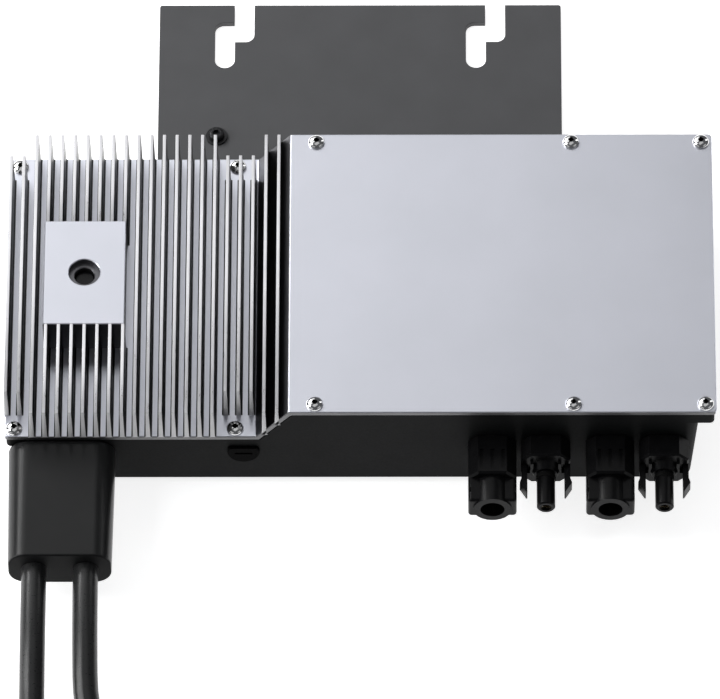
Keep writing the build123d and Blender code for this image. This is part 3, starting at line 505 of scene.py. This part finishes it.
def round_edges(piece, width, segments=3):
    bevel = piece.modifiers.new("rounded_edges", "BEVEL")
    bevel.width = width
    bevel.segments = segments
    bevel.limit_method = "ANGLE"
    bevel.angle_limit = radians(32)
    bevel.miter_outer = "MITER_ARC"
    even = piece.modifiers.new("even_normals", "WEIGHTED_NORMAL")
    even.keep_sharp = True


def ride_and_stand_for(piece, body, *nodes):
    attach(piece, body)
    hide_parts(*nodes)


def merged_copy(node):
    """A CAD node's mesh as a plain closed mesh with flat faces joined up."""
    mesh = frame["nodes"][node].data.copy()
    work = bmesh.new()
    work.from_mesh(mesh)
    bmesh.ops.remove_doubles(work, verts=work.verts, dist=0.001 * MM)
    bmesh.ops.dissolve_limit(work, angle_limit=radians(0.4), verts=work.verts, edges=work.edges)
    work.to_mesh(mesh)
    work.free()
    return mesh


def softened(node, width, body="inverter", segments=3):
    """A CAD node with its sharp edges rounded, standing for that node."""
    mesh = merged_copy(node)
    smooth(mesh)
    piece = new_piece(node + "_soft", mesh, FINISHES[SLOT_OF[node]])
    round_edges(piece, width, segments)
    ride_and_stand_for(piece, body, node)
    return piece


# ---------------------------------------------------------------- geometry node trees

def modifier_tree(name, sizes):
    """An empty tree with a geometry input and output and one float input per size."""
    tree = bpy.data.node_groups.new(name, "GeometryNodeTree")
    tree.interface.new_socket("Geometry", in_out="INPUT", socket_type="NodeSocketGeometry")
    for label, value in sizes.items():
        kind = "NodeSocketInt" if isinstance(value, int) else "NodeSocketFloat"
        tree.interface.new_socket(label, in_out="INPUT", socket_type=kind).default_value = value
    tree.interface.new_socket("Geometry", in_out="OUTPUT", socket_type="NodeSocketGeometry")
    return tree, tree.nodes.new("NodeGroupInput"), tree.nodes.new("NodeGroupOutput")


def baked(name, seed_mesh, tree, sizes):
    """Runs a tree on a mesh and keeps the result as a plain mesh."""
    holder = bpy.data.objects.new(name + "_seed", seed_mesh)
    scene.collection.objects.link(holder)
    modifier = holder.modifiers.new("tree", "NODES")
    modifier.node_group = tree
    for item in tree.interface.items_tree:
        if item.in_out == "INPUT" and item.name in sizes:
            modifier[item.identifier] = sizes[item.name]
    graph = bpy.context.evaluated_depsgraph_get()
    mesh = bpy.data.meshes.new_from_object(holder.evaluated_get(graph))
    bpy.data.objects.remove(holder)
    mesh.name = name
    piece = bpy.data.objects.new(name, mesh)
    scene.collection.objects.link(piece)
    return piece


# ---------------------------------------------------------------- lid

def arc(centre, radius, start, end, steps):
    """Points of an arc in the x-z plane, angles in degrees."""
    points = []
    for step in range(steps + 1):
        angle = radians(start + (end - start) * step / steps)
        points.append((centre[0] + radius * cos(angle), centre[1] + radius * sin(angle)))
    return points


def circle(centre_x, centre_y, radius, z, count):
    points = []
    for step in range(count):
        angle = 2 * pi * step / count
        points.append((centre_x + radius * cos(angle), centre_y + radius * sin(angle), z))
    return points


def extruded(outline, y0, y1):
    """A closed bmesh with an x-z outline, listed anticlockwise as seen from -y."""
    work = bmesh.new()
    near = [work.verts.new((x, y0, z)) for x, z in outline]
    far = [work.verts.new((x, y1, z)) for x, z in outline]
    count = len(outline)
    for index in range(count):
        after = (index + 1) % count
        work.faces.new((near[index], near[after], far[after], far[index]))
    work.faces.new(near[::-1])
    work.faces.new(far)
    bmesh.ops.recalc_face_normals(work, faces=work.faces)
    return work


def lid_plate_mesh():
    """The stepped plate under fins and pad, with softened bends at the slope."""
    bend = 1.2 * MM
    slope = 53.3          # degrees
    foot = (SLOPE_FOOT - bend * 0.5, ROOT_Z + bend)
    crest = (SLOPE_TOP + bend * 0.5, PLATE_Z - bend)
    top = [(LEFT, ROOT_Z)]
    top += arc(foot, bend, 270, 270 + slope, 5)
    top += arc(crest, bend, 90 + slope, 90, 5)
    top += [(LID_HIGH.x, PLATE_Z)]
    shift = 1.1 * MM
    bottom = [
        (LID_HIGH.x, PLATE_Z - LID_T),
        (SLOPE_TOP + shift, PLATE_Z - LID_T),
        (SLOPE_FOOT + shift, ROOT_Z - LID_T),
        (LEFT, ROOT_Z - LID_T),
    ]
    work = extruded(top + bottom, LOWER, UPPER)
    corners = [
        edge for edge in work.edges
        if abs((edge.verts[0].co - edge.verts[1].co).normalized().z) > 0.9
    ]
    bmesh.ops.bevel(work, geom=corners, offset=1.8 * MM, segments=6, profile=0.5, affect="EDGES")
    mesh = bpy.data.meshes.new("lid_plate")
    work.to_mesh(mesh)
    work.free()
    return mesh


def fin_section(foot_z):
    """Half-round tip, drafted sides and a small fillet where the fin leaves the plate."""
    tip = FIN_TIP_T / 2
    root = FIN_ROOT_T / 2
    fillet = 0.55 * MM
    sunk = 0.3 * MM
    side = [(root + fillet, foot_z - sunk), (root + fillet, foot_z)]
    side += [(root + 0.25 * fillet, foot_z + 0.2 * fillet), (root, foot_z + fillet)]
    side += arc((0, PLATE_Z - 0.4 * tip), tip, 0, 90, 4)[:-1]
    crown = [(x, min(z, PLATE_Z)) for x, z in side]
    return crown + [(0, PLATE_Z)] + [(-x, z) for x, z in reversed(crown)]


def fin_tree():
    """Copies of one fin, one pitch apart along x."""
    tree, given, result = modifier_tree("fin_field", {"Fin count": 10, "First fin": 0.0, "Pitch": 0.005})
    line = tree.nodes.new("GeometryNodeMeshLine")
    start = tree.nodes.new("ShaderNodeCombineXYZ")
    step = tree.nodes.new("ShaderNodeCombineXYZ")
    copies = tree.nodes.new("GeometryNodeInstanceOnPoints")
    real = tree.nodes.new("GeometryNodeRealizeInstances")
    paint = tree.nodes.new("GeometryNodeSetMaterial")
    paint.inputs["Material"].default_value = FIN_FINISH
    link(tree, given.outputs["Fin count"], line.inputs["Count"])
    link(tree, given.outputs["First fin"], start.inputs["X"])
    link(tree, given.outputs["Pitch"], step.inputs["X"])
    link(tree, start.outputs["Vector"], line.inputs["Start Location"])
    link(tree, step.outputs["Vector"], line.inputs["Offset"])
    link(tree, line.outputs["Mesh"], copies.inputs["Points"])
    link(tree, given.outputs["Geometry"], copies.inputs["Instance"])
    link(tree, copies.outputs["Instances"], real.inputs["Geometry"])
    link(tree, real.outputs["Geometry"], paint.inputs["Geometry"])
    link(tree, paint.outputs["Geometry"], result.inputs["Geometry"])
    return tree


def slope_height(x):
    share = min(max((x - SLOPE_FOOT) / (SLOPE_TOP - SLOPE_FOOT), 0), 1)
    return ROOT_Z + share * FIN_HEIGHT


def fin_group(name, tree, ends_finish, first, count, y_range):
    """A run of equal fins, from fin number first."""
    start = FIN_FIRST + first * FIN_PITCH
    foot = slope_height(start - FIN_ROOT_T)
    work = extruded(fin_section(foot), *y_range)
    ends = [edge for edge in work.edges if abs(edge.verts[0].co.y - edge.verts[1].co.y) < 1e-7]
    bmesh.ops.bevel(
        work, geom=ends, offset=0.18 * MM, segments=2, profile=0.5, affect="EDGES", clamp_overlap=True,
    )
    mesh = bpy.data.meshes.new(name)
    work.to_mesh(mesh)
    work.free()
    sizes = {"Fin count": count, "First fin": start, "Pitch": FIN_PITCH}
    piece = baked(name, mesh, tree, sizes)
    for vert in piece.data.vertices:
        vert.co.x = max(vert.co.x, LEFT)
    piece.data.materials.clear()
    piece.data.materials.append(FIN_FINISH)
    piece.data.materials.append(ends_finish)
    # End faces take the paler copy as painted light; the sides keep the fin finish with its painted shade.
    for face in piece.data.polygons:
        face.material_index = int(abs(face.normal.y) > 0.7)
    smooth(piece.data, 40)
    return piece


def on_rectangle(point, x_range, y_range):
    """Where the ray from the window's centre through a point leaves a rectangle."""
    dx, dy = point[0] - WINDOW.x, point[1] - WINDOW.y
    reach = []
    if abs(dx) > 1e-9:
        reach.append(((x_range[1] if dx > 0 else x_range[0]) - WINDOW.x) / dx)
    if abs(dy) > 1e-9:
        reach.append(((y_range[1] if dy > 0 else y_range[0]) - WINDOW.y) / dy)
    return (WINDOW.x + dx * min(reach), WINDOW.y + dy * min(reach))


def kept_within(value, low_high, margin):
    return min(max(value, low_high[0] + margin), low_high[1] - margin)


def squared_distance(a, b):
    return (a[0] - b[0]) ** 2 + (a[1] - b[1]) ** 2


def pad_mesh():
    """The raised pad with its stepped round window."""
    count = 96
    sunk = 0.3 * MM
    edge = 0.3 * MM
    top = PLATE_Z
    seat = top - WINDOW_STEP
    rim = circle(WINDOW.x, WINDOW.y, WINDOW_R, top, count)
    outer = [on_rectangle(p, PAD_X, PAD_Y) for p in rim]
    for corner in [(x, y) for x in PAD_X for y in PAD_Y]:
        nearest = min(range(count), key=lambda i: squared_distance(outer[i], corner))
        outer[nearest] = corner
    loops = [[(x, y, ROOT_Z - sunk) for x, y in outer], [(x, y, top - edge) for x, y in outer]]
    loops.append([(kept_within(x, PAD_X, edge), kept_within(y, PAD_Y, edge), top) for x, y in outer])
    for radius, z in (
        (WINDOW_R + edge, top), (WINDOW_R, top - edge), (WINDOW_R, seat),
        (PIPE_R + edge, seat), (PIPE_R, seat - edge), (PIPE_R, ROOT_Z),
    ):
        loops.append(circle(WINDOW.x, WINDOW.y, radius, z, count))
    work = bmesh.new()
    rows = [[work.verts.new(p) for p in loop] for loop in loops]
    for low, high in zip(rows, rows[1:]):
        for index in range(count):
            after = (index + 1) % count
            work.faces.new((low[index], low[after], high[after], high[index]))
    mesh = bpy.data.meshes.new("lid_pad")
    work.to_mesh(mesh)
    work.free()
    smooth(mesh, 30)
    return mesh


def make_lid():
    plate = new_piece("lid_plate", lid_plate_mesh(), FINISHES["lid_aluminium"])
    shaded = shaded_slope()
    plate.data.materials.append(shaded)
    plate.data.materials.append(painted_shade_lower_edge())
    # The lower edge facing -y takes a dull dark copy of the aluminium: painted shade; the step beside the
    # cover takes the dark finish that stands in for shade.
    for face in plate.data.polygons:
        if abs(face.normal.x) > 0.3 and face.normal.z > 0.3:
            face.material_index = 1
        elif face.normal.y < -0.7:
            face.material_index = 2
    smooth(plate.data)
    round_edges(plate, 0.45 * MM, 3)
    pad = new_piece("lid_pad", pad_mesh(), FINISHES["lid_aluminium"])
    pad.data.materials.append(shaded)
    # The pad's sides and the walls and seat of its window take the dark finish: painted shade.
    for face in pad.data.polygons:
        face.material_index = int(face.center.z < PLATE_Z - 0.5 * MM)
    pieces = [plate, pad]
    short = (LOWER + FIN_GAP, UPPER - FIN_GAP)
    full = (LOWER, UPPER)
    below_pad = (LOWER, PAD_Y[0] + 0.2 * MM)
    above_pad = (PAD_Y[1] - 0.2 * MM, UPPER)
    tree = fin_tree()
    ends = painted_light_fin_ends()
    for name, first, count, y_range in (
        ("fins_left", 0, 2, short), ("fin_before_pad", 2, 1, full),
        ("fins_below_pad", 3, 7, below_pad), ("fins_above_pad", 3, 7, above_pad),
        ("fins_main", 10, 7, full), ("fins_inner", 17, 3, short),
        ("fin_slope_low", 20, 1, full), ("fin_slope_high", 21, 1, full),
    ):
        pieces.append(fin_group(name, tree, ends, first, count, y_range))
    for piece in pieces:
        ride_and_stand_for(piece, "inverter", "heatsink_lid")


# ---------------------------------------------------------------- screws

def dome_height(radius):
    """Height of the screw head above its seat at a distance from its axis."""
    return HEAD_H * (0.12 + 0.88 * (1 - (radius / HEAD_R) ** 2) ** 0.5)


def screw_head_mesh():
    """One pan head with a cross recess and a round washer face, its seat at z = 0."""
    steps = 40
    work = bmesh.new()
    profile = []
    for angle in range(70, -1, -10):
        radius = HEAD_R * cos(radians(angle))
        profile.append((radius, dome_height(radius)))
    profile.append((HEAD_R * 0.985, 0.0))
    rows = []
    for radius, z in profile:
        rows.append([work.verts.new(point) for point in circle(0, 0, radius, z, steps)])
    for high, low in zip(rows, rows[1:]):
        for index in range(steps):
            after = (index + 1) % steps
            work.faces.new((high[index], low[index], low[after], high[after]))
    cross = []
    arm, width, floor_z, narrowing = HEAD_R * 0.56, HEAD_R * 0.19, HEAD_H * 0.37, 0.72
    for quarter in range(4):
        turn = Matrix.Rotation(quarter * pi / 2, 3, "Z")
        for corner in ((arm, -width, 0), (arm, width, 0), (width, width, 0)):
            cross.append(turn @ Vector(corner))
    lip = [work.verts.new((p.x, p.y, dome_height(p.length))) for p in cross]
    floor = [work.verts.new((p.x * narrowing, p.y * narrowing, floor_z)) for p in cross]
    recess = work.faces.layers.bool.new("recess")
    for index in range(len(cross)):
        after = (index + 1) % len(cross)
        work.faces.new((lip[after], lip[index], floor[index], floor[after]))[recess] = True
    work.faces.new(floor)[recess] = True
    crown_edges = [e for e in work.edges if e.verts[0] in rows[0] and e.verts[1] in rows[0]]
    lip_edges = [e for e in work.edges if e.verts[0] in lip and e.verts[1] in lip]
    bmesh.ops.triangle_fill(work, edges=crown_edges + lip_edges, use_beauty=True)
    bmesh.ops.recalc_face_normals(work, faces=work.faces)
    mesh = bpy.data.meshes.new("screw_head")
    work.to_mesh(mesh)
    work.free()
    return mesh


def screw_tree(head):
    """The screw head on every point, each turned by its own amount."""
    tree, given, result = modifier_tree("lid_screws", {"Turn seed": 7})
    info = tree.nodes.new("GeometryNodeObjectInfo")
    info.inputs["Object"].default_value = head
    copies = tree.nodes.new("GeometryNodeInstanceOnPoints")
    turn = tree.nodes.new("FunctionNodeRandomValue")
    turn.data_type = "FLOAT"
    turn.inputs[2].default_value = -0.2
    turn.inputs[3].default_value = 0.2
    axis = tree.nodes.new("ShaderNodeCombineXYZ")
    real = tree.nodes.new("GeometryNodeRealizeInstances")
    paint = tree.nodes.new("GeometryNodeSetMaterial")
    paint.inputs["Material"].default_value = FINISHES["bright_steel"]
    marked = tree.nodes.new("GeometryNodeInputNamedAttribute")
    marked.data_type = "BOOLEAN"
    marked.inputs["Name"].default_value = "recess"
    # The cross recess takes the black tray coat: painted shade in the recess.
    shade = tree.nodes.new("GeometryNodeSetMaterial")
    shade.inputs["Material"].default_value = FINISHES["tray_black"]
    link(tree, given.outputs["Turn seed"], turn.inputs["Seed"])
    link(tree, turn.outputs[1], axis.inputs["Z"])
    link(tree, axis.outputs["Vector"], copies.inputs["Rotation"])
    link(tree, given.outputs["Geometry"], copies.inputs["Points"])
    link(tree, info.outputs["Geometry"], copies.inputs["Instance"])
    link(tree, copies.outputs["Instances"], real.inputs["Geometry"])
    link(tree, real.outputs["Geometry"], paint.inputs["Geometry"])
    link(tree, paint.outputs["Geometry"], shade.inputs["Geometry"])
    link(tree, marked.outputs["Attribute"], shade.inputs["Selection"])
    link(tree, shade.outputs["Geometry"], result.inputs["Geometry"])
    return tree


def make_lid_screws():
    head = new_piece("screw_head", screw_head_mesh(), FINISHES["bright_steel"])
    places = [(x, y, ROOT_Z) for y in SCREW_ROWS for x in FIELD_SCREWS]
    places += [(x, y, PLATE_Z) for y in SCREW_ROWS for x in COVER_SCREWS]
    seats = bpy.data.meshes.new("screw_seats")
    seats.from_pydata(places, [], [])
    piece = baked("lid_screw_heads", seats, screw_tree(head), {"Turn seed": 7})
    bpy.data.objects.remove(head)
    smooth(piece.data, 40)
    ride_and_stand_for(piece, "inverter", "lid_screws")


# ---------------------------------------------------------------- leads

LEAD_X = (LEFT + 12.4 * MM, LEFT + 32.4 * MM)
EXIT_Y = BLOCK_LOW.y
EXIT_Z = (BLOCK_LOW.z + BLOCK_HIGH.z) / 2
COIL_R = 55.0 * MM
OUTER_TURN = COIL_R + LEAD_R
INNER_TURN = COIL_R - LEAD_R
COIL_1 = (LEAD_X[0] + OUTER_TURN, LOWER - 240 * MM)
COIL_2 = (LEFT + 205 * MM, LOWER - 214 * MM)
TOP_TURN_Z = 14.9 * MM
PLUG_Z = 13.0 * MM
TURNS = 2.25
POINTS_PER_TURN = 14


def ease(value, start, end):
    share = min(max((value - start) / (end - start), 0), 1)
    return share * share * (3 - 2 * share)


def coil_turns(centre, start_angle, way):
    """An outer and an inner turn on the floor, and a last stretch on top of both."""
    points = []
    for index in range(1, int(TURNS * POINTS_PER_TURN)):
        turn = index / POINTS_PER_TURN
        radius = OUTER_TURN + (INNER_TURN - OUTER_TURN) * ease(turn, 0.82, 1.18)
        radius += LEAD_R * ease(turn, 1.75, 2.05)
        height = LEAD_R + (TOP_TURN_Z - LEAD_R) * ease(turn, 1.7, 2.0)
        angle = radians(start_angle) + way * 2 * pi * turn
        points.append((centre[0] + radius * cos(angle), centre[1] + radius * sin(angle), height))
    return points


def from_corner(x, y, z):
    """A point given in millimetres from the lid's lower left corner."""
    return (LEFT + x * MM, LOWER + y * MM, z * MM)


LEAD_1_ROUTE = [
    (LEAD_X[0], EXIT_Y, EXIT_Z),
    (LEAD_X[0], LOWER - 80 * MM, EXIT_Z),
    (LEAD_X[0], LOWER - 112 * MM, 9.6 * MM),
    (LEAD_X[0], LOWER - 160 * MM, LEAD_R),
    (LEAD_X[0], COIL_1[1], LEAD_R),
]
LEAD_1_TAIL = [
    (COIL_1[0], COIL_1[1] - COIL_R, TOP_TURN_Z),
    (COIL_1[0] + 36 * MM, COIL_1[1] - COIL_R, TOP_TURN_Z),
    (COIL_1[0] + 77 * MM, COIL_1[1] - COIL_R, PLUG_Z),
]
LEAD_2_ROUTE = [
    (LEAD_X[1], EXIT_Y, EXIT_Z),
    (LEAD_X[1], LOWER - 80 * MM, EXIT_Z),
    from_corner(33.4, -118, 8.0),
    from_corner(54, -146, 4.9),
    from_corner(96, -157, 4.9),
    from_corner(150, -151, 4.9),
    (COIL_2[0], COIL_2[1] + OUTER_TURN, LEAD_R),
]
LEAD_2_TAIL = [
    (COIL_2[0] + COIL_R, COIL_2[1], TOP_TURN_Z),
    (COIL_2[0] + COIL_R, COIL_2[1] - 36 * MM, TOP_TURN_Z),
    (COIL_2[0] + COIL_R, COIL_2[1] - 73 * MM, PLUG_Z),
]


def lead_curve(name, points):
    curve = bpy.data.curves.new(name, "CURVE")
    curve.dimensions = "3D"
    curve.bevel_depth = LEAD_R
    curve.bevel_resolution = 7
    curve.resolution_u = 6
    curve.use_fill_caps = True
    spline = curve.splines.new("NURBS")
    spline.points.add(len(points) - 1)
    for point, place in zip(spline.points, points):
        point.co = (*place, 1)
    spline.order_u = 3
    spline.use_endpoint_u = True
    spline.use_smooth = True
    return new_piece(name, curve, FINISHES["lead_jacket"])


def tie_mesh(centre, angle):
    """A woven band drawn tight round two turns on the floor and one on top of them."""
    half = 7.0 * MM
    around = LEAD_R + 0.3 * MM
    floor_gap = 1.0 * MM
    outline = arc((INNER_TURN + 0.5 * MM, LEAD_R), around, -90, -210, 10)
    outline += arc((COIL_R, TOP_TURN_Z), around, 150, 30, 10)
    outline += arc((OUTER_TURN, LEAD_R), around, 30, -90, 10)
    outline = [(x, max(z, floor_gap)) for x, z in outline]
    work = bmesh.new()
    rows = []
    for side in (-half, half):
        rows.append([work.verts.new((x, side, z)) for x, z in outline])
    count = len(outline)
    for index in range(count):
        after = (index + 1) % count
        work.faces.new((rows[0][index], rows[0][after], rows[1][after], rows[1][index]))
    bmesh.ops.recalc_face_normals(work, faces=work.faces)
    turn = Matrix.Translation((centre[0], centre[1], 0)) @ Matrix.Rotation(radians(angle), 4, "Z")
    bmesh.ops.transform(work, matrix=turn, verts=work.verts)
    mesh = bpy.data.meshes.new("coil_tie")
    work.to_mesh(mesh)
    work.free()
    return mesh


def make_tie(name, centre, angle):
    mesh = tie_mesh(centre, angle)
    smooth(mesh, 60)
    piece = new_piece(name, mesh, FINISHES["tie_fabric"])
    wall = piece.modifiers.new("thickness", "SOLIDIFY")
    wall.thickness = 0.9 * MM
    wall.offset = 1.0
    ride_and_stand_for(piece, "inverter", "coil_ties")
    return piece


def one_side(node, name, width, keep):
    """The rounded copy of only those solids of a node that keep() accepts."""
    mesh = merged_copy(node)
    work = bmesh.new()
    work.from_mesh(mesh)
    gone = [vert for vert in work.verts if not keep(vert.co)]
    bmesh.ops.delete(work, geom=gone, context="VERTS")
    work.to_mesh(mesh)
    work.free()
    smooth(mesh)
    piece = new_piece(name, mesh, FINISHES[SLOT_OF[node]])
    round_edges(piece, width)
    ride_and_stand_for(piece, "inverter", node)
    return piece


def make_leads():
    plug_side = COIL_2[0]
    lead_1 = lead_curve("ac_lead_with_plug", LEAD_1_ROUTE + coil_turns(COIL_1, 180, 1) + LEAD_1_TAIL)
    ride_and_stand_for(lead_1, "inverter", "ac_lead_1", "ac_lead_1_coil", "ac_lead_1_tail")
    lead_2 = lead_curve("ac_lead_with_socket", LEAD_2_ROUTE + coil_turns(COIL_2, 90, -1) + LEAD_2_TAIL)
    ride_and_stand_for(lead_2, "inverter", "ac_lead_2", "ac_lead_2_coil", "ac_lead_2_tail")
    tie_1 = make_tie("coil_tie_left", COIL_1, 225)
    tie_2 = make_tie("coil_tie_right", COIL_2, 45)
    gland_1 = one_side("ac_end_glands", "ac_plug_gland", 0.3 * MM, lambda p: p.x < plug_side)
    gland_2 = one_side("ac_end_glands", "ac_socket_gland", 0.3 * MM, lambda p: p.x > plug_side)
    plug = [softened("ac_plug_shell", 0.25 * MM), softened("ac_coupling_nut", 0.25 * MM, "coupling_nut")]
    plug += [softened("ac_plug_insert", 0.2 * MM), softened("ac_plug_contacts", 0.3 * MM)]
    socket = [softened("ac_socket_shell", 0.25 * MM), softened("ac_socket_insert", 0.15 * MM)]
    socket += [frame["nodes"]["ac_socket_contacts"]]


# ---------------------------------------------------------------- casing and connectors

def make_casing():
    softened("rear_tray", 0.35 * MM)
    softened("mounting_bracket", 0.2 * MM, segments=2)
    block = softened("ac_cable_block", 0.5 * MM)
    block.data.materials.append(matt_block_end())
    for face in block.data.polygons:
        face.material_index = int(face.normal.y < -0.7)
    softened("ac_block_seal", 0.15 * MM, segments=2)
    vent = softened("breather_vent", 0.15 * MM, segments=2)
    # The vent takes a darker black than the other rubber: painted shade under the tray's rim.
    vent.data.materials[0] = shaded_vent_rubber()
    softened("earth_screw", 0.15 * MM, segments=2)
    softened("earth_washer", 0.12 * MM, segments=2)
    softened("lid_gasket", 0.15 * MM, segments=2)


def make_dc_connectors():
    for number in (1, 2):
        softened(f"dc_pin_housing_{number}", 0.25 * MM)
        for side in ("left", "right"):
            softened(f"dc_latch_{number}_{side}", 0.2 * MM, f"latch_{number}_{side}")


add_camera()
dress_cad_nodes()
make_leads()
make_lid()
make_lid_screws()
make_casing()
make_dc_connectors()
add_studio()
add_floor()
